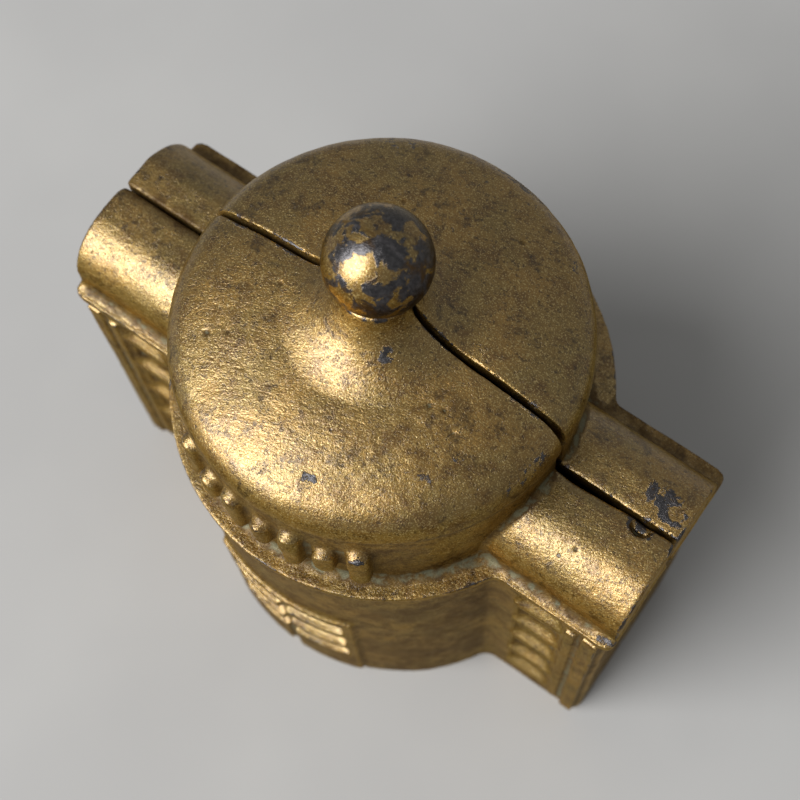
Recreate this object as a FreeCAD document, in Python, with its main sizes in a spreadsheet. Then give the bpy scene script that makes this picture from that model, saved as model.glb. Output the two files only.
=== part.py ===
import FreeCAD, Part
import math
import os

import Sketcher

# A small cast-iron still bank in the shape of a domed building: a round tower crossed by
# two wings, a cornice all round, a drum and a dome with a ball finial. It is cast as a
# front half and a back half that meet on the plane y = 0 and are drawn together by one
# long screw put in from behind.
#
# Frame: origin at the centre of the base, X along the wings, -Y the front with the door,
# +Z up. All sizes are in millimetres.

doc = FreeCAD.newDocument("domed_building_bank")

# ------------------------------------------------------------------ driving dimensions

SIZES = {
    # plan of the walls
    "drum_radius": 21.7,
    "wing_half_length": 31.8,
    "wing_half_depth": 10.1,
    "wall_corner": 1.2,
    "inner_corner": 1.8,
    "wall_height": 40.8,
    # cornice that runs round the top of the walls
    "cornice_radius": 22.3,
    "cornice_half_length": 32.5,
    "cornice_half_depth": 10.6,
    "cornice_corner": 1.0,
    "cornice_inner_corner": 1.2,
    "cornice_height": 1.2,
    # wing roofs: a cove, a steep side and a shoulder that rolls over to a nearly flat crown,
    # which dips a little where it meets the other casting
    "roof_half_length": 32.35,
    "front_roof_cove": 0.9,
    "front_roof_seam_drop": 0.6,
    "front_roof_seam_width": 1.5,
    "front_roof_seam_bow": 2.3,
    "front_roof_half_depth": 9.3,
    "front_roof_side_height": 2.0,
    "front_roof_shoulder": 5.6,
    "front_roof_height": 7.4,
    "front_roof_bow": 5.4,
    "back_roof_cove": 1.4,
    "back_roof_seam_drop": 0.2,
    "back_roof_seam_width": 0.7,
    "back_roof_seam_bow": 1.4,
    "back_roof_half_depth": 8.6,
    "back_roof_side_height": 1.7,
    "back_roof_shoulder": 5.0,
    "back_roof_height": 6.9,
    "back_roof_bow": 8.0,
    # plain drum between the cornice and the dome; it stands a little forward of the seam
    "crown_forward": 0.6,
    "frieze_radius": 19.4,
    "frieze_height": 12.2,
    "foot_fillet": 0.8,
    # dome, flare and ball, heights above the base
    "rim_lip": 0.1,
    "rim_lip_bow": 3.0,
    "rim_radius": 19.65,
    "rim_side_height": 55.8,
    "rim_roll": 3.5,
    "rim_roll_angle": 65.0,
    "dome_low_radius": 9.0,
    "dome_low_height": 61.0,
    "dome_sweep": 30.0,
    "flare_radius": 3.2,
    "flare_height": 66.4,
    "flare_sweep": 7.9,
    "post_radius": 3.1,
    "ball_radius": 4.87,
    "ball_height": 70.5,
    "post_clearance": 0.12,
    # casting
    "wall": 2.3,
    "floor": 2.4,
    "seam_gap": 0.16,
    "overlap": 0.4,
    "cut_margin": 4.0,
    # double door and steps of the front
    "relief": 0.55,
    "recess": 0.7,
    "leaf_angle": 18.0,
    "door_gap_angle": 2.6,
    "frame_angle": 3.4,
    "door_foot": 1.6,
    "door_height": 22.6,
    "door_panel_height": 7.6,
    "door_middle_rail": 12.6,
    "door_top_rail": 18.6,
    "door_rail": 1.6,
    # louvred window and pilaster of each wing
    "window_inner": 22.3,
    "window_width": 4.7,
    "window_foot": 3.2,
    "window_height": 35.4,
    "louvre_pitch": 7.6,
    "louvre_foot": 0.5,
    "louvre_nose": 0.9,
    "louvre_height": 3.6,
    "louvre_proud": 0.35,
    "strip_gap": 0.75,
    "strip_width": 1.05,
    "pilaster_width": 1.7,
    "pilaster_foot": 1.2,
    "pilaster_height": 38.6,
    # raised reeds, long and short by turns, on the front of the frieze
    "frieze_ornament_foot": 1.1,
    "frieze_ornament_height": 9.4,
    "frieze_relief": 1.5,
    "reed_width": 2.8,
    "reed_end_radius": 1.55,
    "reed_draft": 8.0,
    "reed_pitch": 9.5,
    "short_reed_inset": 1.7,
    # coin slot in the back
    "slot_width": 26.5,
    "slot_height": 3.0,
    "slot_level": 34.6,
    "slot_end_radius": 1.8,
    # screw: number 8, one and a half inches long
    "screw_level": 20.0,
    "screw_radius": 2.08,
    "screw_length": 38.1,
    "screw_pitch": 0.8,
    "thread_depth": 0.45,
    "thread_length": 17.6,
    "thread_root_width": 0.1,
    "thread_mouth_width": 0.72,
    "thread_mouth_margin": 0.1,
    "screw_clearance": 0.06,
    "head_radius": 3.9,
    "head_height": 2.5,
    "head_edge": 0.5,
    "head_slot_width": 1.1,
    "head_slot_depth": 1.4,
    "seat_radius": 4.6,
    "seat_y": 19.7,
    "front_boss_radius": 4.0,
    "front_boss_end_y": 9.4,
    "front_boss_draft": 3.0,
    "front_hole_end_y": 18.9,
    "back_boss_radius": 6.2,
    "back_boss_end_y": 15.6,
}

sheet = doc.addObject("Spreadsheet::Sheet", "sizes")
for row, (alias, number) in enumerate(SIZES.items(), start=1):
    sheet.set(f"A{row}", alias)
    sheet.set(f"B{row}", str(number))
    sheet.setAlias(f"B{row}", alias)
doc.recompute()


class Size:
    """A number together with the sheet formula that it comes from."""

    def __init__(self, number, formula):
        self.number = number
        self.formula = formula

    def __add__(self, other):
        other = as_size(other)
        return Size(self.number + other.number, f"({self.formula} + {other.formula})")

    def __sub__(self, other):
        other = as_size(other)
        return Size(self.number - other.number, f"({self.formula} - {other.formula})")

    def __mul__(self, other):
        other = as_size(other)
        return Size(self.number * other.number, f"({self.formula} * {other.formula})")

    def __truediv__(self, other):
        other = as_size(other)
        return Size(self.number / other.number, f"({self.formula} / {other.formula})")

    def __neg__(self):
        return Size(-self.number, f"(-1 * {self.formula})")


def as_size(value):
    return value if isinstance(value, Size) else Size(float(value), repr(float(value)))


def size(alias):
    return Size(SIZES[alias], f"sizes.{alias}")


def root(value):
    return Size(math.sqrt(value.number), f"sqrt({value.formula})")


def sine(degrees):
    degrees = as_size(degrees)
    return Size(math.sin(math.radians(degrees.number)), f"sin({degrees.formula} * 1 deg)")


def cosine(degrees):
    degrees = as_size(degrees)
    return Size(math.cos(math.radians(degrees.number)), f"cos({degrees.formula} * 1 deg)")


ZERO = as_size(0)
CORNICE_TOP = size("wall_height") + size("cornice_height")
PLATE_UNDERSIDE = CORNICE_TOP - size("floor")
LOUVRE_COUNT = 5

# ------------------------------------------------------------------ sketch and feature helpers


def origin_plane(body, role):
    for feature in body.Origin.OriginFeatures:
        if feature.Role == role:
            return feature
    raise ValueError(role)


def sketch_on(body, name, role, offset=ZERO):
    """An empty sketch on one of the body's own origin planes, moved along its normal."""
    sketch = body.newObject("Sketcher::SketchObject", name)
    sketch.AttachmentSupport = [(origin_plane(body, role), "")]
    sketch.MapMode = "FlatFace"
    sketch.AttachmentOffset.Base = FreeCAD.Vector(0, 0, offset.number)
    sketch.setExpression(".AttachmentOffset.Base.z", offset.formula)
    return sketch


def bind(sketch, constraint, value):
    """Adds one dimension to a sketch and ties it to its sheet formula."""
    index = sketch.addConstraint(constraint)
    sketch.setExpression(f"Constraints[{index}]", value.formula)


def arc_between(start, end, bend):
    """The shorter arc of radius |bend|, with its centre on the left of start-to-end if bend > 0."""
    chord = end - start
    half = chord.Length / 2
    radius = abs(bend)
    left = FreeCAD.Vector(-chord.y, chord.x, 0).normalize()
    reach = math.sqrt(max(radius * radius - half * half, 0))
    turn = 1 if bend > 0 else -1
    middle = (start + end) / 2
    centre = middle + left * (turn * reach)
    top = centre - left * (turn * radius)
    return Part.Arc(start, top, end)


def closed_outline(sketch, corners):
    """Draws a closed outline. Each corner is (x, y) or (x, y, bend), where bend is the
    radius of the arc that leaves that corner, positive if its centre is on the left."""
    points = [FreeCAD.Vector(c[0].number, c[1].number, 0) for c in corners]
    count = len(corners)
    for i, corner in enumerate(corners):
        start = points[i]
        end = points[(i + 1) % count]
        if len(corner) == 3:
            sketch.addGeometry(arc_between(start, end, corner[2].number), False)
        else:
            sketch.addGeometry(Part.LineSegment(start, end), False)
    # an arc runs anticlockwise in a sketch, so its start is the corner it leaves only if bend > 0
    first = [2 if len(c) == 3 and c[2].number < 0 else 1 for c in corners]
    for i in range(count):
        following = (i + 1) % count
        last = 3 - first[i]
        sketch.addConstraint(
            Sketcher.Constraint("Coincident", i, last, following, first[following])
        )
    for i, corner in enumerate(corners):
        x, y = corner[0], corner[1]
        bind(sketch, Sketcher.Constraint("DistanceX", -1, 1, i, first[i], x.number), x)
        bind(sketch, Sketcher.Constraint("DistanceY", -1, 1, i, first[i], y.number), y)
        if len(corner) == 3:
            radius = corner[2] if corner[2].number > 0 else -corner[2]
            bind(sketch, Sketcher.Constraint("Radius", i, radius.number), radius)


def circle_outline(sketch, x, y, radius):
    centre = FreeCAD.Vector(x.number, y.number, 0)
    sketch.addGeometry(Part.Circle(centre, FreeCAD.Vector(0, 0, 1), radius.number), False)
    bind(sketch, Sketcher.Constraint("DistanceX", -1, 1, 0, 3, x.number), x)
    bind(sketch, Sketcher.Constraint("DistanceY", -1, 1, 0, 3, y.number), y)
    bind(sketch, Sketcher.Constraint("Radius", 0, radius.number), radius)


def extrude(body, kind, name, sketch, length, symmetric=False, reverse=False):
    """A Pad or a Pocket of one sketch."""
    feature = body.newObject(f"PartDesign::{kind}", name)
    feature.Profile = sketch
    feature.Type = "Length"
    feature.Length = length.number
    feature.setExpression("Length", length.formula)
    feature.SideType = "Symmetric" if symmetric else "One side"
    feature.Reversed = reverse
    return feature


def turn(body, kind, name, sketch, angle, reverse=False):
    """A Revolution or a Groove about the sketch's vertical axis."""
    feature = body.newObject(f"PartDesign::{kind}", name)
    feature.Profile = sketch
    feature.ReferenceAxis = (sketch, ["V_Axis"])
    feature.Angle = angle
    feature.Reversed = reverse
    return feature


# ------------------------------------------------------------------ outlines shared by both castings


def plan_corners(side, radius, half_length, half_depth, corner, inner):
    """Half of the cross-shaped plan on one side of the seam: wing, tower, wing."""
    s = side
    reach = root((radius + inner) * (radius + inner) - (half_depth + inner) * (half_depth + inner))
    share = radius / (radius + inner)
    arc_x = reach * share
    arc_y = (half_depth + inner) * share
    return [
        (-half_length, ZERO),
        (-half_length, (half_depth - corner) * s, corner * -s),
        (corner - half_length, half_depth * s),
        (-reach, half_depth * s, inner * s),
        (-arc_x, arc_y * s, radius * -s),
        (ZERO, radius * s, radius * -s),
        (arc_x, arc_y * s, inner * s),
        (reach, half_depth * s),
        (half_length - corner, half_depth * s, corner * -s),
        (half_length, (half_depth - corner) * s),
        (half_length, ZERO),
    ]


def roof_corners(side):
    """Half of a wing roof's section, in the plane across the wing. The back casting's roof
    is a little lower and rounder than the front's."""
    s = side
    half = "front" if side < 0 else "back"
    level = CORNICE_TOP
    deep = size(f"{half}_roof_half_depth")
    cove = size(f"{half}_roof_cove")
    side_top = level + size(f"{half}_roof_side_height")
    crown = level + size(f"{half}_roof_height")
    seam_width = size(f"{half}_roof_seam_width")
    return [
        (ZERO, level - size("overlap")),
        ((deep + cove) * s, level - size("overlap")),
        ((deep + cove) * s, level, cove * -s),
        (deep * s, level + cove),
        (deep * s, side_top, size(f"{half}_roof_bow") * s),
        ((deep - size(f"{half}_roof_shoulder")) * s, crown),
        (seam_width * s, crown, size(f"{half}_roof_seam_bow") * s),
        (ZERO, crown - size(f"{half}_roof_seam_drop")),
    ]


def roof_hollow_corners(side):
    """Half section of the space inside a wing roof, one wall's thickness in from its skin."""
    s = side
    half = "front" if side < 0 else "back"
    wall = size("wall")
    deep = size(f"{half}_roof_half_depth")
    side_top = CORNICE_TOP + size(f"{half}_roof_side_height")
    crown = CORNICE_TOP + size(f"{half}_roof_height") - wall
    return [
        (ZERO, PLATE_UNDERSIDE - size("overlap")),
        ((deep - wall) * s, PLATE_UNDERSIDE - size("overlap")),
        ((deep - wall) * s, side_top, (size(f"{half}_roof_bow") - wall) * s),
        ((deep - size(f"{half}_roof_shoulder")) * s, crown),
        (ZERO, crown),
    ]


def crown_corners():
    """Half section of frieze, dome and flare, from the axis outwards."""
    level = CORNICE_TOP
    frieze = size("frieze_radius")
    fillet = size("foot_fillet")
    under = level + size("frieze_height")
    rim = size("rim_radius")
    rim_level = size("rim_side_height")
    roll = size("rim_roll")
    angle = size("rim_roll_angle")
    return [
        (ZERO, level - size("overlap")),
        (frieze + fillet, level - size("overlap")),
        (frieze + fillet, level, -fillet),
        (frieze, level + fillet),
        (frieze, under),
        (rim - size("rim_lip"), under, size("rim_lip_bow")),
        (rim, rim_level, roll),
        (rim - roll + roll * cosine(angle), rim_level + roll * sine(angle), size("dome_sweep")),
        (size("dome_low_radius"), size("dome_low_height"), -size("flare_sweep")),
        (size("flare_radius"), size("flare_height")),
        (ZERO, size("flare_height")),
    ]


def crown_hollow_corners():
    """Half section of the space inside the frieze and the dome, one wall's thickness in."""
    wall = size("wall")
    inside = size("frieze_radius") - wall
    rim_level = size("rim_side_height")
    roll = size("rim_roll") - wall
    angle = size("rim_roll_angle")
    sweep = size("dome_sweep") - wall
    return [
        (ZERO, PLATE_UNDERSIDE - size("overlap")),
        (inside, PLATE_UNDERSIDE - size("overlap")),
        (inside, rim_level, roll),
        (inside - roll + roll * cosine(angle), rim_level + roll * sine(angle), sweep),
        (size("dome_low_radius"), size("dome_low_height") - wall),
        (ZERO, size("dome_low_height") - wall),
    ]


# ------------------------------------------------------------------ one casting


def shell(name, side):
    """The plain hollow half of the building on one side of the seam: side -1 is the front."""
    body = doc.addObject("PartDesign::Body", name)
    body.Label = name

    plan = sketch_on(body, f"{name}_wall_plan", "XY_Plane")
    closed_outline(
        plan,
        plan_corners(
            side, size("drum_radius"), size("wing_half_length"), size("wing_half_depth"),
            size("wall_corner"), size("inner_corner"),
        ),
    )
    extrude(body, "Pad", f"{name}_walls", plan, size("wall_height") + size("overlap"))

    plan = sketch_on(body, f"{name}_cornice_plan", "XY_Plane", size("wall_height"))
    closed_outline(
        plan,
        plan_corners(
            side, size("cornice_radius"), size("cornice_half_length"), size("cornice_half_depth"),
            size("cornice_corner"), size("cornice_inner_corner"),
        ),
    )
    extrude(body, "Pad", f"{name}_cornice", plan, size("cornice_height"))

    section = sketch_on(body, f"{name}_roof_section", "YZ_Plane")
    closed_outline(section, roof_corners(side))
    extrude(body, "Pad", f"{name}_roofs", section, size("roof_half_length") * 2, symmetric=True)

    # frieze and dome are turned whole, and seam_face then takes the far side away
    forward = size("crown_forward")
    section = sketch_on(body, f"{name}_crown_section", "XZ_Plane", forward)
    closed_outline(section, crown_corners())
    turn(body, "Revolution", f"{name}_crown", section, 360)

    wall = size("wall")
    plan = sketch_on(body, f"{name}_hollow_plan", "XY_Plane", size("floor"))
    closed_outline(
        plan,
        plan_corners(
            side, size("drum_radius") - wall, size("wing_half_length") - wall,
            size("wing_half_depth") - wall, size("wall_corner"), size("inner_corner"),
        ),
    )
    hollow_height = PLATE_UNDERSIDE - size("floor")
    extrude(body, "Pocket", f"{name}_hollow", plan, hollow_height, reverse=True)

    section = sketch_on(body, f"{name}_roof_hollow_section", "YZ_Plane")
    closed_outline(section, roof_hollow_corners(side))
    roof_hollow_length = (size("roof_half_length") - wall) * 2
    extrude(body, "Pocket", f"{name}_roof_hollow", section, roof_hollow_length, symmetric=True)

    section = sketch_on(body, f"{name}_crown_hollow_section", "XZ_Plane", forward)
    closed_outline(section, crown_hollow_corners())
    turn(body, "Groove", f"{name}_crown_hollow", section, 360)
    return body


def seam_face(body, side):
    """Cuts the joint face back from the plane y = 0 by half of the seam gap, and takes away
    all that stands on its far side."""
    margin = size("cut_margin")
    sketch = sketch_on(body, f"{body.Name}_seam_plan", "XY_Plane", -margin)
    length = size("cornice_half_length") + margin
    near = size("seam_gap") / 2 * side
    far = (size("cornice_radius") + margin) * -side
    closed_outline(sketch, [(-length, near), (length, near), (length, far), (-length, far)])
    height = size("ball_height") + size("ball_radius") + margin * 2
    return extrude(body, "Pocket", f"{body.Name}_seam", sketch, height, reverse=True)


def ring_block(body, name, inner, outer, start, end, foot, height, kind="Pad", forward=ZERO):
    """A block between two radii and two angles about an upright axis that is forward of the
    origin, with the angles in degrees from the front's centre line towards +X."""
    sketch = sketch_on(body, f"{name}_plan", "XY_Plane", foot)

    def point(radius, angle):
        return radius * sine(angle), -(radius * cosine(angle) + forward)

    closed_outline(
        sketch,
        [
            point(inner, start),
            (*point(outer, start), outer),
            point(outer, end),
            (*point(inner, end), -inner),
        ],
    )
    return extrude(body, kind, name, sketch, height, reverse=kind == "Pocket")


def wing_block(body, name, side, wing, near, width, deep, proud, foot, height, kind="Pad"):
    """A block on a wing's long wall, from a depth inside its face to a height proud of it.
    wing is 1 for the wing at +X and -1 for the other."""
    sketch = sketch_on(body, f"{name}_plan", "XY_Plane", foot)
    face = size("wing_half_depth")
    inside = (face - deep) * side
    outside = (face + proud) * side
    far = near + width
    closed_outline(
        sketch,
        [
            (near * wing, inside), (far * wing, inside),
            (far * wing, outside), (near * wing, outside),
        ],
    )
    return extrude(body, kind, name, sketch, height, reverse=kind == "Pocket")


def louvres(body, name, side, wing):
    """The row of sloping slats in one wing's window."""
    lap = size("overlap")
    start = size("window_inner") - lap
    length = size("window_width") + lap * 2
    offset = start if wing > 0 else -(start + length)
    face = size("wing_half_depth")
    foot = size("window_foot") + size("louvre_foot")
    back = (face - size("recess") - lap) * side
    nose = (face + size("louvre_proud")) * side
    section = sketch_on(body, f"{name}_section", "YZ_Plane", offset)
    closed_outline(
        section,
        [
            (back, foot),
            (nose, foot + size("louvre_nose")),
            (nose, foot + size("louvre_nose") * 2),
            (back, foot + size("louvre_height")),
        ],
    )
    slat = extrude(body, "Pad", name, section, length)
    row = body.newObject("PartDesign::LinearPattern", f"{name}_row")
    row.Originals = [slat]
    row.Direction = (section, ["V_Axis"])
    row.Mode = "Spacing"
    row.Offset = SIZES["louvre_pitch"]
    row.setExpression("Offset", size("louvre_pitch").formula)
    row.Occurrences = LOUVRE_COUNT
    body.Tip = row


def wing_details(body, side):
    """Louvred window, narrow strip and corner pilaster on both wings of one casting."""
    near = size("window_inner")
    bed = size("recess")
    proud = size("relief")
    for wing, end in ((1, "right"), (-1, "left")):
        name = f"{body.Name}_{end}"
        wing_block(
            body, f"{name}_window", side, wing, near, size("window_width"), bed, proud * 2,
            size("window_foot"), size("window_height"), kind="Pocket",
        )
        louvres(body, f"{name}_louvre", side, wing)
        strip = near + size("window_width") + size("strip_gap")
        wing_block(
            body, f"{name}_strip", side, wing, strip, size("strip_width"), bed, proud,
            size("window_foot"), size("window_height"),
        )
        pilaster = strip + size("strip_width") + size("strip_gap")
        wing_block(
            body, f"{name}_pilaster", side, wing, pilaster, size("pilaster_width"), bed, proud,
            size("pilaster_foot"), size("pilaster_height"),
        )


def front_door(body):
    """Double door on the tower: two recessed leaves with rails and a raised lower panel."""
    radius = size("drum_radius")
    bed = radius - size("recess")
    proud = radius + size("relief")
    lap = size("overlap")
    inside = bed - lap
    first = size("door_gap_angle") / 2
    last = first + size("leaf_angle")
    edge = last + size("frame_angle")
    foot = size("door_foot")
    high = size("door_height")
    rail = size("door_rail")
    leaves = (("right", first, last, last, edge), ("left", -last, -first, -edge, -last))
    for name, start, end, jamb_start, jamb_end in leaves:
        ring_block(
            body, f"door_{name}_bed", bed, proud + lap, start, end, foot, high, kind="Pocket"
        )
        panel_high = size("door_panel_height")
        ring_block(body, f"door_{name}_panel", inside, proud, start, end, foot, panel_high)
        for level in ("door_middle_rail", "door_top_rail"):
            ring_block(body, f"{level}_{name}", inside, proud, start, end, size(level), rail)
        ring_block(body, f"door_{name}_jamb", inside, proud, jamb_start, jamb_end, foot, high)
    ring_block(body, "door_lintel", inside, proud, -edge, edge, foot + high, rail)


def frieze_sketch(body, name, angle):
    """An empty sketch just inside the frieze's face, which looks outwards at an angle from
    the front's centre line."""
    bed = size("frieze_radius") - size("relief")
    across = bed * sine(angle)
    out = bed * cosine(angle) + size("crown_forward")
    sketch = sketch_on(body, f"{name}_outline", "XZ_Plane", out)
    sketch.AttachmentOffset = FreeCAD.Placement(
        FreeCAD.Vector(across.number, 0, out.number),
        FreeCAD.Rotation(FreeCAD.Vector(0, 1, 0), angle.number),
    )
    sketch.setExpression(".AttachmentOffset.Base.x", across.formula)
    sketch.setExpression(".AttachmentOffset.Rotation.Angle", angle.formula)
    return sketch


def frieze_ornament(body):
    """Upright reeds with round ends on the front of the frieze, every second one shorter."""
    proud = size("frieze_relief") + size("relief")
    foot = CORNICE_TOP + size("frieze_ornament_foot")
    top = foot + size("frieze_ornament_height")
    half = size("reed_width") / 2
    bow = size("reed_end_radius")
    for number in range(-3, 4):
        inset = size("short_reed_inset") if number % 2 == 0 else ZERO
        low = foot + inset + half
        high = top - inset - half
        name = f"frieze_reed_{number + 4}"
        sketch = frieze_sketch(body, name, size("reed_pitch") * number)
        closed_outline(sketch, [(-half, low, bow), (half, low), (half, high, bow), (-half, high)])
        reed = extrude(body, "Pad", name, sketch, proud)
        reed.TaperAngle = -size("reed_draft").number
        reed.setExpression("TaperAngle", (-size("reed_draft")).formula)


def round_along_y(body, kind, name, radius, near_y, far_y, draft=None):
    """A round boss or hole along Y at the screw's level, from one y to another."""
    sketch = sketch_on(body, f"{name}_outline", "XZ_Plane", -near_y)
    circle_outline(sketch, ZERO, size("screw_level"), radius)
    backwards = far_y.number > near_y.number
    length = far_y - near_y if backwards else near_y - far_y
    # a Pad leaves the XZ plane towards -Y and a Pocket towards +Y
    reverse = backwards if kind == "Pad" else not backwards
    feature = extrude(body, kind, name, sketch, length, reverse=reverse)
    if draft:
        feature.TaperAngle = draft.number
        feature.setExpression("TaperAngle", draft.formula)
    return feature


def front_casting():
    body = shell("front_casting", -1)
    wing_details(body, -1)
    front_door(body)
    frieze_ornament(body)
    wall_y = -(size("drum_radius") - size("wall") / 2)
    boss_y = -size("front_boss_end_y")
    round_along_y(
        body, "Pad", "screw_boss", size("front_boss_radius"), boss_y, wall_y,
        size("front_boss_draft"),
    )
    hole = size("screw_radius") + size("screw_clearance")
    hole_mouth = boss_y + size("overlap")
    round_along_y(body, "Pocket", "screw_hole", hole, hole_mouth, -size("front_hole_end_y"))
    seam_face(body, -1)

    # the post and the ball are whole, and belong to this casting
    section = sketch_on(body, "ball_section", "XZ_Plane")
    post = size("post_radius")
    radius = size("ball_radius")
    centre = size("ball_height")
    neck = centre - root(radius * radius - post * post)
    foot = size("dome_low_height") - size("wall")
    closed_outline(
        section,
        [
            (ZERO, foot),
            (post, foot),
            (post, neck, radius),
            (radius, centre, radius),
            (ZERO, centre + radius),
        ],
    )
    turn(body, "Revolution", "ball", section, 360)
    return body


def back_casting():
    body = shell("back_casting", 1)
    wing_details(body, 1)
    seat_y = size("seat_y")
    boss_y = size("back_boss_end_y")
    lap = size("overlap")
    outside_y = size("cornice_radius") + size("cut_margin")
    round_along_y(body, "Pad", "screw_boss", size("back_boss_radius"), boss_y, seat_y + lap)
    round_along_y(body, "Pocket", "head_seat", size("seat_radius"), seat_y, outside_y)
    hole = size("screw_radius") + size("screw_clearance")
    round_along_y(body, "Pocket", "screw_hole", hole, boss_y - lap, outside_y)

    outline = sketch_on(body, "coin_slot_outline", "XZ_Plane", -boss_y)
    end = size("slot_height") / 2
    half = size("slot_width") / 2 - end
    low = size("slot_level") - end
    high = size("slot_level") + end
    bow = size("slot_end_radius")
    closed_outline(outline, [(-half, low), (half, low, bow), (half, high), (-half, high, bow)])
    extrude(body, "Pocket", "coin_slot", outline, outside_y - boss_y)
    seam_face(body, 1)

    # half-round notch for the front casting's post
    foot = size("dome_low_height") - size("wall") - lap
    outline = sketch_on(body, "post_notch_outline", "XY_Plane", foot)
    circle_outline(outline, ZERO, ZERO, size("post_radius") + size("post_clearance"))
    extrude(body, "Pocket", "post_notch", outline, size("ball_height"), reverse=True)
    return body


def assembly_screw():
    """Slotted round-head machine screw along Y, head at the back."""
    body = doc.addObject("PartDesign::Body", "assembly_screw")
    body.Label = "assembly_screw"
    level = size("screw_level")
    radius = size("screw_radius")
    seat_y = size("seat_y")
    tip_y = seat_y - size("screw_length")
    depth = size("thread_depth")
    head = size("head_radius")
    edge_y = seat_y + size("head_edge")
    crown_y = seat_y + size("head_height")
    rise = crown_y - edge_y
    bow = (head * head + rise * rise) / (rise * 2)

    # half section of shank and head, turned about the screw's own axis
    section = sketch_on(body, "screw_section", "XY_Plane", level)
    closed_outline(
        section,
        [
            (ZERO, tip_y),
            (radius - depth, tip_y),
            (radius, tip_y + depth),
            (radius, seat_y),
            (head, seat_y),
            (head, edge_y, bow),
            (ZERO, crown_y),
        ],
    )
    turn(body, "Revolution", "shank_and_head", section, 360)

    slot = sketch_on(body, "driver_slot_outline", "YZ_Plane")
    half = size("head_slot_width") / 2
    margin = size("cut_margin")
    slot_y = crown_y - size("head_slot_depth")
    closed_outline(
        slot,
        [
            (slot_y, level - half), (crown_y + margin, level - half),
            (crown_y + margin, level + half), (slot_y, level + half),
        ],
    )
    extrude(body, "Pocket", "driver_slot", slot, (head + margin) * 2, symmetric=True)

    # the thread is a V groove wound about the axis, from just before the tip
    groove = sketch_on(body, "thread_section", "XY_Plane", level)
    start_y = tip_y - size("thread_mouth_width") / 2
    mouth = radius + size("thread_mouth_margin")
    root_half = size("thread_root_width") / 2
    mouth_half = size("thread_mouth_width") / 2
    closed_outline(
        groove,
        [
            (mouth, start_y - mouth_half), (radius - depth, start_y - root_half),
            (radius - depth, start_y + root_half), (mouth, start_y + mouth_half),
        ],
    )
    thread = body.newObject("PartDesign::SubtractiveHelix", "thread")
    thread.Profile = groove
    thread.ReferenceAxis = (groove, ["V_Axis"])
    thread.Mode = "pitch-height-angle"
    for name, alias in (("Pitch", "screw_pitch"), ("Height", "thread_length")):
        setattr(thread, name, SIZES[alias])
        thread.setExpression(name, size(alias).formula)
    thread.Angle = 0
    return body


# ------------------------------------------------------------------ build, check and write

front = front_casting()
back = back_casting()
screw = assembly_screw()
doc.recompute()

parts = [front, back, screw]
for item in doc.Objects:
    if "Invalid" in item.State or "Error" in item.State:
        raise RuntimeError(f"{item.Label} failed: {item.State}")
for body in parts:
    if body.Shape.isNull() or not body.Shape.isValid():
        raise RuntimeError(f"{body.Label} has no valid shape")
    if len(body.Shape.Solids) != 1:
        raise RuntimeError(f"{body.Label} has {len(body.Shape.Solids)} solids, not one")

os.makedirs("parts", exist_ok=True)
for body in parts:
    body.Shape.exportStep(f"parts/{body.Label}.step")
    box = body.Shape.BoundBox
    print(
        body.Label, f"{body.Shape.Volume:.1f} mm3",
        f"x {box.XMin:.2f} {box.XMax:.2f}", f"y {box.YMin:.2f} {box.YMax:.2f}",
        f"z {box.ZMin:.2f} {box.ZMax:.2f}",
    )
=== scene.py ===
import math

import bmesh
import bpy
import numpy as np
from mathutils import Matrix, Vector


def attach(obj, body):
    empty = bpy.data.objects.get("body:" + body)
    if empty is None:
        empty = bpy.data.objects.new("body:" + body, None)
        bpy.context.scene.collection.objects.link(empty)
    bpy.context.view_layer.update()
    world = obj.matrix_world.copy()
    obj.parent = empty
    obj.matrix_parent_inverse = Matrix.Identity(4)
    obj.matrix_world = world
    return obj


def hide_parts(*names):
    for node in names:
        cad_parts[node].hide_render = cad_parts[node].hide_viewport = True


# Looks for the cast-iron domed-building bank: two sand-cast halves under worn bronze-powder
# paint, and the steel screw that holds them. Lengths in this file are millimetres unless a
# name says otherwise; MM turns them into the scene's metres.

MM = 0.001
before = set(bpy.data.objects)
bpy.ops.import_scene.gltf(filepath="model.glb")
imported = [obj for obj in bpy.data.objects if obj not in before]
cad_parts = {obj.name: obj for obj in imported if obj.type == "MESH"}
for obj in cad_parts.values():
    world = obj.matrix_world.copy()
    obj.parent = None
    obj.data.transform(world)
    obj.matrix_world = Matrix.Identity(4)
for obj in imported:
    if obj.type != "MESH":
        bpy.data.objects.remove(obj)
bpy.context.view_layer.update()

# ------------------------------------------------------------------ places on the castings

FRONT, BACK = -1, 1
AXIS_Y = -0.6
WALL_TOP = 40.8
CORNICE_TOP = 42.0
RIM_HEIGHT = 54.3
ROOF_TOP = 50.0
DOME_CEILING = 63.5
DRUM_RADIUS = 21.7
WING_START = 19.0
WING_END = 31.8
WING_HALF_DEPTH = 10.1
FRIEZE_RADIUS = 19.4
FRIEZE_TOP = 53.0
REED_PITCH = math.radians(9.5)
REED_HALF_WIDTH = 1.4
END_REED = 3
BALL = np.array([0.0, 0.0, 70.5])
BALL_RADIUS = 4.87
POST_FOOT = 66.0

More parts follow.
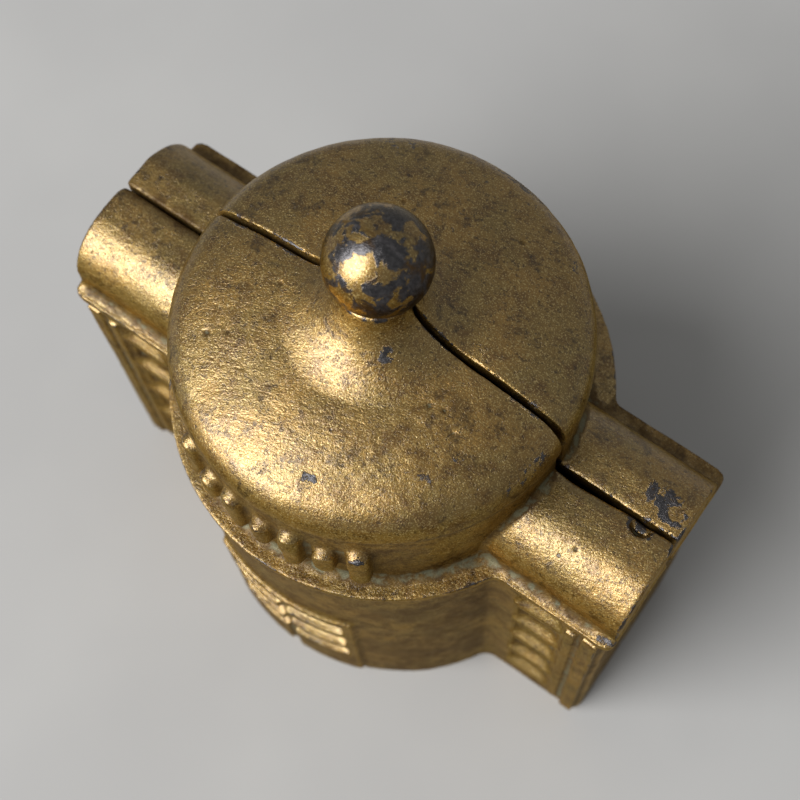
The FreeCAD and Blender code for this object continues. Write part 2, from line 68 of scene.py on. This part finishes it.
# bare or rubbed iron: centre, reach along x, y, z, and strength
WORN = [
    ((28.8, 3.0, 48.9), (3.4, 2.1, 2.0), 0.66),
    ((30.4, 1.9, 48.6), (2.6, 1.9, 1.6), 0.72),
    ((31.4, -10.0, 42.1), (1.5, 0.9, 0.9), 0.62),
    ((28.6, -10.1, 42.3), (2.6, 0.7, 0.7), 0.42),
    ((3.6, -4.4, 63.4), (1.7, 1.6, 1.8), 0.62),
    ((18.7, -5.0, 57.4), (1.3, 6.0, 1.5), 0.50),
    ((4.0, 18.2, 58.0), (7.5, 1.4, 1.7), 0.60),
    ((-9.0, 15.2, 58.7), (4.0, 1.8, 1.6), 0.48),
    ((12.6, 13.6, 58.4), (3.0, 3.0, 1.5), 0.42),
    ((3.8, -16.3, 59.5), (1.6, 0.9, 1.0), 0.55),
    ((13.5, -7.6, 59.8), (1.0, 0.9, 1.0), 0.50),
    ((11.9, -10.6, 59.7), (1.8, 0.7, 1.0), 0.48),
    ((-27.0, -3.5, 49.2), (2.2, 1.2, 1.4), 0.42),
    ((-24.0, 6.0, 47.8), (2.4, 1.4, 1.6), 0.45),
]
# gold left standing inside a worn place: centre and reach
LEFT_GOLD = ((30.7, 2.2, 48.9), 0.9)
# the dome's front right made darker: centre and reach
DARKER_DOME_FRONT = ((13.0, -8.0, 58.5), (17.0, 12.0, 9.0))
# small dark pits in the surface: centre and reach
PITS = [
    ((8.7, -5.3, 60.9), 0.34),
    ((10.0, -4.9, 60.8), 0.30),
    ((11.7, -6.1, 60.4), 0.26),
    ((-11.9, -10.6, 59.7), 0.34),
    ((-10.2, -9.6, 60.3), 0.24),
    ((-8.8, -3.4, 61.0), 0.26),
    ((15.2, 6.0, 59.6), 0.24),
    ((-4.5, 9.5, 60.6), 0.30),
    ((6.5, 12.5, 60.0), 0.34),
    ((25.0, -5.8, 48.9), 0.26),
    ((-24.5, -6.2, 48.6), 0.26),
]
PIT_DEPTH = 0.12
# a nick knocked out of the front casting's seam edge: centre, reach and depth
NICK = ((28.8, -0.7, 49.2), 1.25, 1.0)


# ------------------------------------------------------------------ mesh tools

FINE_VOXEL = 0.2
VOXEL = FINE_VOXEL


def rounds(count):
    """Averaging rounds that smooth as far at this voxel size as count rounds do at the fine one."""
    return round(count * (FINE_VOXEL / VOXEL) ** 2)


def smoothstep(low, high, value):
    t = np.clip((value - low) / (high - low), 0.0, 1.0)
    return t * t * (3.0 - 2.0 * t)


def bell(value, centre, width):
    return np.exp(-(((value - centre) / width) ** 2))


def blob(points, centre, reach):
    """1 at the centre, 0 beyond the reach, which is one length or one per axis."""
    d = np.linalg.norm((points - np.array(centre)) / np.array(reach), axis=1)
    return 1.0 - smoothstep(0.35, 1.0, d)


def hashed(cell, seed):
    """A number from -1 to 1 for each lattice cell, the same on every run."""
    h = cell[:, 0] * 374761393 + cell[:, 1] * 668265263 + cell[:, 2] * 2147483647
    h = h + seed * 974711
    h = (h ^ (h >> 13)) * 1274126177
    h = (h ^ (h >> 16)) & 0xFFFF
    return h / 32767.5 - 1.0


def lattice_noise(points, wavelength, seed):
    """Smooth value noise from -1 to 1 at points in millimetres, the same on every run."""
    p = points / wavelength + np.array([seed * 17.31, seed * 7.77, seed * 3.19]) + 1000.0
    cell = np.floor(p).astype(np.int64)
    f = p - cell
    f = f * f * f * (f * (f * 6.0 - 15.0) + 10.0)
    total = np.zeros(len(points))
    for corner in np.ndindex(2, 2, 2):
        share = np.where(corner, f, 1.0 - f)
        total += hashed(cell + np.array(corner), seed) * share.prod(axis=1)
    return total


def mesh_arrays(mesh):
    """Places in millimetres and normals of a mesh's vertices."""
    points = np.empty(len(mesh.vertices) * 3)
    mesh.vertices.foreach_get("co", points)
    normals = np.empty(len(mesh.vertices) * 3)
    mesh.vertices.foreach_get("normal", normals)
    return points.reshape(-1, 3) / MM, normals.reshape(-1, 3)


def set_points(mesh, points):
    mesh.vertices.foreach_set("co", (points * MM).ravel())
    mesh.update()


class Web:
    """Each vertex's neighbours, for averaging."""

    def __init__(self, mesh):
        pairs = np.empty(len(mesh.edges) * 2, dtype=np.int64)
        mesh.edges.foreach_get("vertices", pairs)
        self.a, self.b = pairs.reshape(-1, 2).T
        self.count = len(mesh.vertices)
        degree = np.bincount(self.a, minlength=self.count)
        degree += np.bincount(self.b, minlength=self.count)
        self.degree = np.maximum(degree, 1)

    def mean(self, values):
        total = np.bincount(self.a, weights=values[self.b], minlength=self.count)
        total += np.bincount(self.b, weights=values[self.a], minlength=self.count)
        return total / self.degree

    def relax(self, points, weight, turns):
        """Moves each point towards the mean of its neighbours, by its own weight."""
        for _ in range(turns):
            mean = np.stack([self.mean(points[:, axis]) for axis in range(3)], axis=-1)
            points = points + (mean - points) * weight[:, None]
        return points

    def spread(self, values, turns):
        for _ in range(turns):
            values = 0.5 * values + 0.5 * self.mean(values)
        return values

    def bend(self, points, normals, turns):
        """Height above the smoothed surface: more than 0 on ridges, less in hollows."""
        smooth = self.relax(points, np.full(self.count, 0.6), turns)
        return ((points - smooth) * normals).sum(axis=1)


def voxel_copy(node):
    """An evenly meshed copy of a CAD node."""
    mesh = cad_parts[node].data.copy()
    piece = bpy.data.objects.new(f"{node}_skin", mesh)
    bpy.context.scene.collection.objects.link(piece)
    bm = bmesh.new()
    bm.from_mesh(mesh)
    bmesh.ops.remove_doubles(bm, verts=bm.verts, dist=1e-6)
    bm.to_mesh(mesh)
    bm.free()
    remesh = piece.modifiers.new("remesh", "REMESH")
    remesh.mode = "VOXEL"
    remesh.voxel_size = VOXEL * MM
    depsgraph = bpy.context.evaluated_depsgraph_get()
    fine = bpy.data.meshes.new_from_object(piece.evaluated_get(depsgraph))
    piece.modifiers.clear()
    piece.data = fine
    fine.name = f"{node}_skin"
    fine.polygons.foreach_set("use_smooth", np.ones(len(fine.polygons), dtype=bool))
    return piece


# ------------------------------------------------------------------ parts of a casting


def axis_radius(points):
    """Distance from the axis of frieze and dome."""
    return np.hypot(points[:, 0], points[:, 1] - AXIS_Y)


def ball_zone(points):
    """True on the ball and the top of its post."""
    near = np.linalg.norm(points - BALL, axis=1) < BALL_RADIUS + 1.5
    return near & (points[:, 2] > POST_FOOT)


def frieze_zone(points):
    """1 on the front of the drum's frieze and its reeds, 0 elsewhere."""
    zone = smoothstep(CORNICE_TOP + 0.4, CORNICE_TOP + 1.2, points[:, 2])
    zone *= 1.0 - smoothstep(FRIEZE_TOP, FRIEZE_TOP + 1.0, points[:, 2])
    zone *= axis_radius(points) > FRIEZE_RADIUS - 0.9
    return zone * smoothstep(11.0, 15.5, -points[:, 1])


def seam_zone(points, on_ball, half_width):
    """1 at the joint of roofs and dome, falling to 0 over about twice the half width."""
    zone = bell(points[:, 1], 0.0, half_width) * (points[:, 2] > CORNICE_TOP + 1.0)
    zone[on_ball] = 0.0
    return zone


def inside_zone(points, normals):
    """1 on the unpainted inside of the shell, 0 on its outside."""
    x, y, z = np.abs(points[:, 0]), np.abs(points[:, 1]), points[:, 2]
    up = normals[:, 2]
    in_wing = (x < WING_END - 1.2) & (y < WING_HALF_DEPTH - 1.5)
    in_walls = np.hypot(x, y) < DRUM_RADIUS - 1.6
    in_crown = axis_radius(points) < FRIEZE_RADIUS - 1.5
    lower = z < CORNICE_TOP - 0.5
    below = (z > 1.2) & lower & (in_walls | in_wing)
    drum = ~lower & (z < FRIEZE_TOP) & in_crown
    dome = (z >= FRIEZE_TOP) & (z < DOME_CEILING) & in_crown & (up < -0.05)
    roof = ~lower & (z < ROOF_TOP) & in_wing & ~in_crown & (up < -0.1)
    return (below | drum | dome | roof).astype(float)


# ------------------------------------------------------------------ shape of a casting


def rounded_reeds(points):
    """Turns the reeds' flat faces into worn, slightly uneven half rounds."""
    y = points[:, 1] - AXIS_Y
    radius = axis_radius(points)
    angle = np.arctan2(points[:, 0], -y)
    nearest = np.round(angle / REED_PITCH).clip(-END_REED, END_REED) * REED_PITCH
    across = np.abs(angle - nearest) * radius / REED_HALF_WIDTH
    squash = 0.40 * np.clip(across, 0.0, 1.0) ** 2 + 0.14 * lattice_noise(points, 2.2, 41) + 0.04
    proud = np.clip(radius - FRIEZE_RADIUS, 0.0, None)
    lowered = radius - frieze_zone(points) * proud * np.clip(squash, 0.0, 1.0)
    points = points.copy()
    points[:, 0] *= lowered / radius
    points[:, 1] = AXIS_Y + y * lowered / radius
    return points


def softened(web, mesh, points, side, on_ball):
    """Soft edges everywhere, cast fillets in the hollows, worn reeds and rounded seam edges."""
    points = web.relax(points, np.full(web.count, 0.5), rounds(4))
    for _ in range(3):
        set_points(mesh, points)
        points, normals = mesh_arrays(mesh)
        bend = web.bend(points, normals, 8)
        hollow = smoothstep(0.01, 0.06, web.spread(-bend, 3))
        points = web.relax(points, 0.6 * hollow, rounds(14))
    points = rounded_reeds(points)
    points = web.relax(points, 0.5 * frieze_zone(points), rounds(7))

    # the front's roofs roll over more widely into the joint than anything else does
    front_roof = smoothstep(19.5, 21.0, np.abs(points[:, 0])) * (side == FRONT)
    front_roof *= smoothstep(CORNICE_TOP - 1.0, CORNICE_TOP + 1.0, points[:, 2])
    uneven = (0.1 + 0.2 * front_roof) * lattice_noise(points, 3.0, 11)
    reach = 0.3 + 0.9 * front_roof + uneven
    seam = 1.0 - smoothstep(0.12, 1.0, np.abs(points[:, 1]) / reach)
    seam[on_ball] = 0.0
    return web.relax(points, 0.5 * seam, rounds(16))


def loosely_joined(points, side, on_ball):
    """Opens the joint beside the drum on the right, and sets the halves a little out of line."""
    x = points[:, 0].copy()
    near = seam_zone(points, on_ball, 1.6)
    gape = near * (0.34 * bell(x, 21.5, 3.2) + 0.15 * bell(x, 9.5, 6.0))
    gape += 0.10 * near * np.clip(lattice_noise(points, 2.2, 21), 0.0, 1.0)
    points[:, 1] += side * gape * (1.0 if side == FRONT else 0.35)
    step = 0.16 * np.where(x < 0, 1.0, -0.6) * side
    step *= 1.0 - 0.8 * smoothstep(WING_START - 0.5, WING_START + 1.5, -x)
    points[:, 2] -= np.clip(-step, 0.0, 1.0) * near
    return points


def dented(points, normals, side, on_ball):
    """Waviness, pits and the nick, always inwards so that the piece stays in the CAD model."""
    wave = 0.055 * lattice_noise(points, 8.0, 3) + 0.04 * lattice_noise(points, 3.1, 5)
    wave += 0.02 * lattice_noise(points, 1.2, 8) + 0.010 * lattice_noise(points, 0.6, 9)
    inwards = np.clip(0.06 - wave, 0.0, 0.25)
    inwards[on_ball] *= 0.6
    for centre, reach in PITS:
        inwards += PIT_DEPTH * blob(points, centre, reach * 1.3)
    if side == FRONT:
        centre, reach, depth = NICK
        inwards += depth * blob(points, centre, reach)
    points = points - normals * inwards[:, None]
    points[:, 2] = np.maximum(points[:, 2], 0.0)
    return points


# ------------------------------------------------------------------ wear, dirt and painted shade on a casting


def shaded_left_joint(points):
    """1 at the left wing's joint, 0 beyond 2 mm from it: the paint there is whole but darkened with
    dirt and painted shade.
    """
    near = 1.0 - smoothstep(0.4, 2.0, np.abs(points[:, 1]))
    return near * (points[:, 0] < -WING_START)


def wear_map(web, points, bend, inside):
    """Where the paint is rubbed off: ridges, marked places, seam edges and the inside."""
    ridge = smoothstep(0.02, 0.10, web.spread(bend, 2))
    wear = ridge * (0.50 + 0.40 * lattice_noise(points, 4.0, 31))
    wear *= 1.0 - 0.8 * shaded_left_joint(points)
    for centre, reach, strength in WORN:
        wear = np.maximum(wear, strength * blob(points, centre, reach))
    wear = wear * (1.0 - blob(points, *LEFT_GOLD))

    above = points[:, 2] > CORNICE_TOP + 1.0
    seam_edge = bell(np.abs(points[:, 1]), 0.40, 0.40) * above
    seam_edge *= 0.42 + 0.22 * smoothstep(-21.0, -18.0, points[:, 0])
    wear = np.maximum(wear, seam_edge * (0.6 + 0.4 * lattice_noise(points, 2.5, 33)))
    roof_end = smoothstep(WING_END - 0.3, WING_END + 0.3, np.abs(points[:, 0])) * above
    wear = np.maximum(wear, roof_end * (0.28 + 0.16 * lattice_noise(points, 3.0, 37)))
    return np.maximum(wear, 0.8 * inside)


def wall_soot_and_shade(web, points, normals, bend):
    """Soot and painted shade on the walls, with more painted shade on the wings' end walls; less on
    raised faces, where hands and cloths rub, and less on upward faces, which are painted as lit.
    """
    soot_and_shade = 0.80 + 0.20 * lattice_noise(points, 6.0, 35)
    on_wing = np.abs(points[:, 0]) > WING_START
    # painted shade on the wings' end walls
    end_wall = smoothstep(0.7, 0.9, np.abs(normals[:, 0])) * (np.abs(points[:, 0]) > 31.0)
    soot_and_shade = np.maximum(soot_and_shade * np.where(on_wing, 0.78, 0.9), 0.8 * end_wall)
    # raised faces rubbed clean; upward faces painted as lit, with less shade
    rubbed_and_lit = np.maximum(
        smoothstep(0.006, 0.04, web.spread(bend, 2)), smoothstep(0.12, 0.45, normals[:, 2])
    )
    return soot_and_shade * (1.0 - rubbed_and_lit * np.where(on_wing, 0.98, 0.74)), rubbed_and_lit


def grime_and_shade_map(web, points, normals, bend, side, inside):
    """Dirt and painted shade in hollows, under the dome's rim, at the left wing's joint, and on
    walls, ledges and frieze; dirt in the joint itself and in the pits and the nick; the dome's
    front right made darker.
    """
    x, y, z = np.abs(points[:, 0]), np.abs(points[:, 1]), points[:, 2]
    radius = axis_radius(points)
    # dirt and painted shade in the hollows
    grime_and_shade = smoothstep(0.005, 0.05, web.spread(-bend, 2))
    grime_and_shade = np.maximum(grime_and_shade, 0.95 * (1.0 - smoothstep(0.05, 0.35, y)))
    # dirt and painted shade along the left wing's joint
    grime_and_shade = np.maximum(grime_and_shade, 0.8 * shaded_left_joint(points))
    # painted shade, with dirt, in a band under the dome's rim
    under_rim_shade = (radius > 17.0) * bell(z, RIM_HEIGHT, 1.3)
    grime_and_shade = np.maximum(grime_and_shade, 0.9 * under_rim_shade)

    # painted shade with soot on the walls, taken off raised and upward faces
    walls = 1.0 - smoothstep(WALL_TOP - 1.2, WALL_TOP + 0.6, z)
    soot_and_shade, rubbed_and_lit = wall_soot_and_shade(web, points, normals, bend)
    grime_and_shade = np.where(walls > 0.5, grime_and_shade * (1.0 - rubbed_and_lit), grime_and_shade)
    grime_and_shade = np.maximum(grime_and_shade, walls * soot_and_shade)
    low = 1.0 - smoothstep(CORNICE_TOP + 1.0, CORNICE_TOP + 2.5, z)
    # painted shade on the back ledge behind the wings' roofs
    back_ledge_shade = (points[:, 1] > 8.2) * (x > WING_START) * low * (1.0 - walls)
    grime_and_shade = np.maximum(grime_and_shade, 0.75 * back_ledge_shade)
    # painted shade on the frieze under the dome, deeper between the reeds
    between_reeds_shade = 1.0 - smoothstep(FRIEZE_RADIUS + 0.1, FRIEZE_RADIUS + 0.9, radius)
    grime_and_shade = np.maximum(grime_and_shade, (0.2 + 0.5 * between_reeds_shade) * frieze_zone(points))

    # the dome's front right made darker
    grime_and_shade = np.maximum(grime_and_shade, 0.5 * blob(points, *DARKER_DOME_FRONT))
    for centre, reach in PITS:
        grime_and_shade = np.maximum(grime_and_shade, blob(points, centre, reach * 1.5))
    if side == FRONT:
        centre, reach, _ = NICK
        grime_and_shade = np.maximum(grime_and_shade, blob(points, centre, reach * 0.9))
    return grime_and_shade * (1.0 - 0.6 * inside)


def cast_half(node, side):
    """One casting, with a colour attribute of wear, of dirt with painted shade, and of the
    much-handled ball.
    """
    piece = voxel_copy(node)
    mesh = piece.data
    web = Web(mesh)
    points, _ = mesh_arrays(mesh)
    on_ball = ball_zone(points)

    points = softened(web, mesh, points, side, on_ball)
    points = loosely_joined(points, side, on_ball)
    set_points(mesh, points)
    points = dented(*mesh_arrays(mesh), side, on_ball)
    set_points(mesh, points)

    points, normals = mesh_arrays(mesh)
    bend = web.bend(points, normals, rounds(12))
    inside = web.spread(inside_zone(points, normals), 2)
    wear = wear_map(web, points, bend, inside)
    grime_and_shade = grime_and_shade_map(web, points, normals, bend, side, inside)
    wear_grime_and_shade = mesh.color_attributes.new("wear_grime_and_shade", "FLOAT_COLOR", "POINT")
    rgba = np.stack([wear, grime_and_shade, on_ball, np.ones(web.count)], axis=-1).clip(0.0, 1.0)
    wear_grime_and_shade.data.foreach_set("color", rgba.astype(np.float32).ravel())
    return piece


front = cast_half("front_casting", FRONT)
back = cast_half("back_casting", BACK)
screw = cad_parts["assembly_screw"]

# ------------------------------------------------------------------ materials


class Graph:
    """Builds a node material. Lengths given to noise are wavelengths in millimetres."""

    def __init__(self, name):
        self.material = bpy.data.materials.new(name)
        self.material.use_nodes = True
        self.nodes = self.material.node_tree.nodes
        self.links = self.material.node_tree.links
        self.place = self.node("ShaderNodeTexCoord").outputs["Object"]

    def node(self, kind, inputs=None, **settings):
        made = self.nodes.new(kind)
        for key, value in settings.items():
            setattr(made, key, value)
        for key, value in (inputs or {}).items():
            self.put(made.inputs[key], value)
        return made

    def put(self, socket, value):
        if isinstance(value, bpy.types.NodeSocket):
            self.links.new(value, socket)
        else:
            socket.default_value = value

    def surface(self, inputs):
        """Fills in the material's shader and gives the material."""
        for key, value in inputs.items():
            self.put(self.nodes["Principled BSDF"].inputs[key], value)
        return self.material

    def math(self, operation, *values):
        return self.node("ShaderNodeMath", dict(enumerate(values)), operation=operation).outputs[0]

    def times(self, *values):
        total = values[0]
        for value in values[1:]:
            total = self.math("MULTIPLY", total, value)
        return total

    def plus(self, *values):
        total = values[0]
        for value in values[1:]:
            total = self.math("ADD", total, value)
        return total

    def scaled(self, value, factor, offset=0.0):
        return self.math("MULTIPLY_ADD", value, factor, offset)

    def mix(self, share, a, b):
        made = self.node("ShaderNodeMix", {0: share}, data_type="RGBA")
        for socket, value in ((6, a), (7, b)):
            self.put(made.inputs[socket], value)
        return made.outputs[2]

    def ramp(self, value, low, high):
        made = self.node("ShaderNodeMapRange", {"Value": value, "From Min": low, "From Max": high})
        made.interpolation_type = "SMOOTHSTEP"
        return made.outputs[0]

    def parts(self, vector):
        return self.node("ShaderNodeSeparateXYZ", {"Vector": vector}).outputs

    def moved(self, offset):
        made = self.node("ShaderNodeVectorMath", {0: self.place, 1: offset}, operation="ADD")
        return made.outputs[0]

    def stretched(self, angle, ratio):
        """Places drawn out along a level direction, so that noise lies in streaks along it."""
        made = self.node("ShaderNodeMapping", {
            "Vector": self.place, "Rotation": (0.0, 0.0, -angle), "Scale": (ratio, 1.0, 1.0),
        }, vector_type="TEXTURE")
        return made.outputs[0]

    def noise(self, wavelength, detail=3.0, rough=0.5, distortion=0.0, place=None,
              offset=(0.0, 0.0, 0.0)):
        made = self.node("ShaderNodeTexNoise", {
            "Vector": place or self.moved(offset), "Scale": 1.0 / (wavelength * MM),
            "Detail": detail, "Roughness": rough, "Distortion": distortion,
        })
        return made.outputs["Fac"]

    def specks(self, spacing, size, share, offset=(0.0, 0.0, 0.0)):
        """Round specks: 1 inside a speck. share is the part of the cells that hold one."""
        cells = self.node("ShaderNodeTexVoronoi", {
            "Vector": self.moved(offset), "Scale": 1.0 / (spacing * MM), "Randomness": 1.0,
        })
        chance = self.node("ShaderNodeSeparateColor", {"Color": cells.outputs["Color"]}).outputs
        chosen = self.math("LESS_THAN", chance[0], share)
        width = self.scaled(chance[1], size * 0.6, size * 0.4)
        near = self.math("SUBTRACT", width, cells.outputs["Distance"])
        return self.times(self.ramp(near, 0.0, size * 0.35), chosen)

    def attribute(self, name):
        made = self.node("ShaderNodeAttribute", attribute_name=name)
        return self.node("ShaderNodeSeparateColor", {"Color": made.outputs["Color"]}).outputs

    def bump(self, height, strength, distance):
        made = self.node("ShaderNodeBump", {
            "Height": height, "Strength": strength, "Distance": distance * MM,
        })
        return made.outputs[0]


def rgb(r, g, b):
    return (r, g, b, 1.0)


WARM_GOLD = rgb(0.29, 0.168, 0.038)
OLIVE_GOLD = rgb(0.225, 0.147, 0.038)
THIN_GOLD = rgb(0.150, 0.080, 0.018)
PALE_FLAKE = rgb(0.63, 0.48, 0.20)
PORE = rgb(0.046, 0.026, 0.009)
STAIN = rgb(0.048, 0.027, 0.009)
SPECK = rgb(0.032, 0.021, 0.013)
SOOT = rgb(0.062, 0.035, 0.013)
BLOOM = rgb(0.12, 0.125, 0.085)
DARK_IRON = rgb(0.042, 0.040, 0.043)
GREY_IRON = rgb(0.095, 0.090, 0.094)
RUST = rgb(0.075, 0.044, 0.020)
GRAZING_TINT = rgb(0.74, 0.64, 0.48)


def gilt_iron():
    g = Graph("gilt_iron")
    wear, grime_and_shade, ball = g.attribute("wear_grime_and_shade")[:3]
    broad = g.noise(7.0, 3.0, 0.55, 0.4)
    smudge = g.noise(3.4, 6.0, 0.66, 0.8, offset=(0.017, 0.041, 0.003))
    patch = g.noise(1.9, 5.0, 0.62, 0.4, offset=(0.031, 0.007, 0.011))
    chips = g.noise(1.1, 6.0, 0.70, 0.3, offset=(0.005, 0.023, 0.002))
    grain = g.noise(0.42, 3.0, 0.65, 0.3, offset=(0.003, 0.017, 0.005))
    fine = g.noise(0.20, 2.0, 0.6)
    flakes = g.noise(0.14, 2.0, 0.5, offset=(0.009, 0.001, 0.013))
    brush = g.noise(0.35, 3.0, 0.6, 0.2, place=g.stretched(math.radians(-20.0), 5.0))

    # bronze-powder paint: warm and olive gold in drifts, browner where it is thin, with
    # paler flakes, dark dirt in the grain, stains and specks
    gold = g.mix(g.ramp(broad, 0.35, 0.68), WARM_GOLD, OLIVE_GOLD)
    gold = g.mix(g.times(g.ramp(patch, 0.46, 0.66), 0.9), gold, THIN_GOLD)
    gold = g.mix(g.times(g.ramp(flakes, 0.54, 0.64), 0.6), gold, PALE_FLAKE)
    pores = g.plus(g.times(grain, 0.45), g.times(fine, 0.25), g.times(brush, 0.30))
    pores = g.ramp(pores, 0.515, 0.61)
    gold = g.mix(g.times(pores, 0.70), gold, PORE)
    stain = g.plus(g.times(smudge, 0.65), g.times(chips, 0.35))
    stain = g.times(g.ramp(stain, 0.535, 0.60), g.scaled(g.ramp(grain, 0.40, 0.60), 0.6, 0.4))
    gold = g.mix(g.times(stain, 0.75), gold, STAIN)
    ragged_specks = g.ramp(g.plus(g.times(chips, 0.6), g.times(fine, 0.4)), 0.635, 0.67)
    dots = g.math("MAXIMUM", ragged_specks, g.specks(2.6, 0.10, 0.35, (0.013, 0.004, 0.009)))
    gold = g.mix(g.times(dots, 0.85), gold, SPECK)

    # dirt and painted shade: brown-black on the walls, under the rim and in the hollows, with a
    # grey-green bloom deep in the hollows
    uneven = g.plus(g.scaled(patch, 0.7, -0.35), g.scaled(chips, 0.6, -0.3))
    dirt_and_shade = g.ramp(g.plus(grime_and_shade, uneven), 0.25, 1.0)
    bloom = g.times(g.ramp(grime_and_shade, 0.86, 1.0), g.ramp(chips, 0.40, 0.56))
    gold = g.mix(g.times(dirt_and_shade, 0.85), gold, g.mix(bloom, SOOT, BLOOM))

    # iron where the paint is gone, everywhere more ragged than the marked places; on the
    # ball in large patches, more of them towards the back right
    ragged = g.plus(g.scaled(chips, 1.5, -0.75), g.scaled(grain, 0.5, -0.25))
    bare = g.ramp(g.plus(wear, ragged), 0.50, 0.60)
    handled = g.noise(1.9, 5.0, 0.62, 0.5, offset=(0.0, 0.002, 0.0045))
    x, y, _ = g.parts(g.place)
    towards_back_right = g.times(g.plus(x, y), 12.0)
    ball_bare = g.ramp(g.plus(handled, towards_back_right), 0.45, 0.495)
    bare = g.math("MAXIMUM", bare, g.times(ball, ball_bare))
    iron = g.mix(g.ramp(grain, 0.35, 0.7), DARK_IRON, GREY_IRON)
    iron = g.mix(g.ramp(patch, 0.50, 0.66), iron, RUST)

    rough = g.plus(g.scaled(fine, 0.24, 0.24), g.times(dirt_and_shade, 0.22), g.times(patch, 0.10))
    rough = g.plus(rough, g.times(bare, -0.05), g.times(ball, -0.05))
    metal = g.times(g.scaled(dirt_and_shade, -0.40, 1.0), g.scaled(dots, -0.5, 1.0))

    # a thin varnish-like shine, only on faces that look up and are free of dirt, painted shade and
    # bare iron
    up = g.parts(g.node("ShaderNodeNewGeometry").outputs["Normal"])[2]
    clean_and_unshaded = g.times(g.scaled(dirt_and_shade, -0.9, 1.0), g.scaled(bare, -0.4, 1.0))
    polish = g.times(clean_and_unshaded, g.ramp(up, 0.35, 0.80))

    # grain, brush ripple and the paint film's edge as relief
    height = g.plus(
        grain, g.times(fine, 0.6), g.times(patch, 0.9), g.times(brush, 0.9),
        g.times(bare, -0.45), g.times(dots, -0.8), g.times(pores, -0.5),
        g.times(bare, chips, 2.0),
    )
    relief = g.bump(g.times(height, g.scaled(ball, -0.55, 1.0)), 0.8, 0.08)
    return g.surface({
        "Base Color": g.mix(bare, gold, iron), "Roughness": rough, "Metallic": metal,
        "Specular IOR Level": g.scaled(dirt_and_shade, -0.35, 0.5), "Specular Tint": GRAZING_TINT,
        "Normal": relief, "Coat Weight": g.times(polish, 0.85), "Coat Roughness": 0.15,
        "Coat IOR": 1.6, "Coat Normal": relief,
    })


def screw_steel():
    g = Graph("screw_steel")
    patch = g.noise(1.2, 4.0, 0.6)
    grain = g.noise(0.3, 3.0, 0.6)
    steel = g.mix(g.ramp(patch, 0.4, 0.65), rgb(0.20, 0.19, 0.18), rgb(0.10, 0.075, 0.055))
    steel = g.mix(g.times(g.ramp(grain, 0.5, 0.75), 0.6), steel, rgb(0.05, 0.04, 0.03))
    return g.surface({
        "Base Color": steel, "Roughness": g.scaled(grain, 0.3, 0.32), "Metallic": 0.85,
        "Normal": g.bump(grain, 0.4, 0.05),
    })


def floor_paint():
    g = Graph("floor_paint")
    cloud = g.ramp(g.noise(38.0, 3.0, 0.5), 0.3, 0.7)
    return g.surface({
        "Base Color": g.mix(cloud, rgb(0.378, 0.378, 0.378), rgb(0.408, 0.408, 0.406)),
        "Roughness": 0.75, "Specular IOR Level": 0.25,
    })


gilt = gilt_iron()
for piece, body, node in ((front, "front", "front_casting"), (back, "back", "back_casting")):
    piece.data.materials.clear()
    piece.data.materials.append(gilt)
    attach(piece, body)
    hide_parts(node)
screw.data.materials.clear()
screw.data.materials.append(screw_steel())

# ------------------------------------------------------------------ floor, light and camera

FLOOR_HALF = 2.0

LIGHT_PLACE = (-0.32, -0.65, 0.60)
LIGHT_WIDTH, LIGHT_HEIGHT = 0.72, 1.10
LIGHT_POWER = 15.5
LIGHT_COLOR = (1.0, 0.99, 0.975)
SKY_COLOR = rgb(0.99, 0.99, 0.97)
SKY_STRENGTH = 0.32

AZIMUTH = math.radians(40.81)
ELEVATION = math.radians(70.37)
ROLL = math.radians(-5.85)
TARGET = Vector((-3.15, 4.62, 20.31)) * MM
DISTANCE = 181.5 * MM
FOCUS = Vector((0.0, -8.0, 59.0)) * MM
LENS = 72.1
SENSOR = 36.0
APERTURE_STOP = 48.0


def placed(name, data):
    made = bpy.data.objects.new(name, data)
    bpy.context.scene.collection.objects.link(made)
    return made


def add_floor():
    mesh = bpy.data.meshes.new("floor")
    h = FLOOR_HALF
    mesh.from_pydata([(-h, -h, 0), (h, -h, 0), (h, h, 0), (-h, h, 0)], [], [(0, 1, 2, 3)])
    mesh.materials.append(floor_paint())
    placed("floor", mesh)


def add_window_light():
    data = bpy.data.lights.new("window", "AREA")
    data.shape = "ELLIPSE"
    data.size = LIGHT_WIDTH
    data.size_y = LIGHT_HEIGHT
    data.energy = LIGHT_POWER
    data.color = LIGHT_COLOR
    light = placed("window", data)
    light.location = LIGHT_PLACE
    light.rotation_mode = "QUATERNION"
    light.rotation_quaternion = (-Vector(LIGHT_PLACE)).to_track_quat("-Z", "Y")


def add_sky():
    world = bpy.data.worlds.new("studio")
    bpy.context.scene.world = world
    world.use_nodes = True
    background = world.node_tree.nodes["Background"].inputs
    background["Color"].default_value = SKY_COLOR
    background["Strength"].default_value = SKY_STRENGTH


def add_camera():
    """The camera at the photo's angle, found by azimuth, elevation and roll about the target."""
    level = math.cos(ELEVATION)
    backwards = Vector((
        math.sin(AZIMUTH) * level, -math.cos(AZIMUTH) * level, math.sin(ELEVATION),
    ))
    level_right = Vector((math.cos(AZIMUTH), math.sin(AZIMUTH), 0.0))
    level_up = backwards.cross(level_right)
    right = level_right * math.cos(ROLL) + level_up * math.sin(ROLL)
    up = level_up * math.cos(ROLL) - level_right * math.sin(ROLL)

    focus = placed("focus", None)
    focus.location = FOCUS
    data = bpy.data.cameras.new("camera")
    data.lens = LENS
    data.sensor_width = SENSOR
    data.clip_start = 0.01
    data.clip_end = 20.0
    data.dof.use_dof = True
    data.dof.focus_object = focus
    data.dof.aperture_fstop = APERTURE_STOP
    camera = placed("camera", data)
    turn = Matrix((right, up, backwards)).transposed().to_4x4()
    camera.matrix_world = Matrix.Translation(TARGET + backwards * DISTANCE) @ turn
    bpy.context.scene.camera = camera


add_floor()
add_window_light()
add_sky()
add_camera()
bpy.context.scene.view_settings.view_transform = "Standard"
bpy.context.scene.view_settings.look = "None"
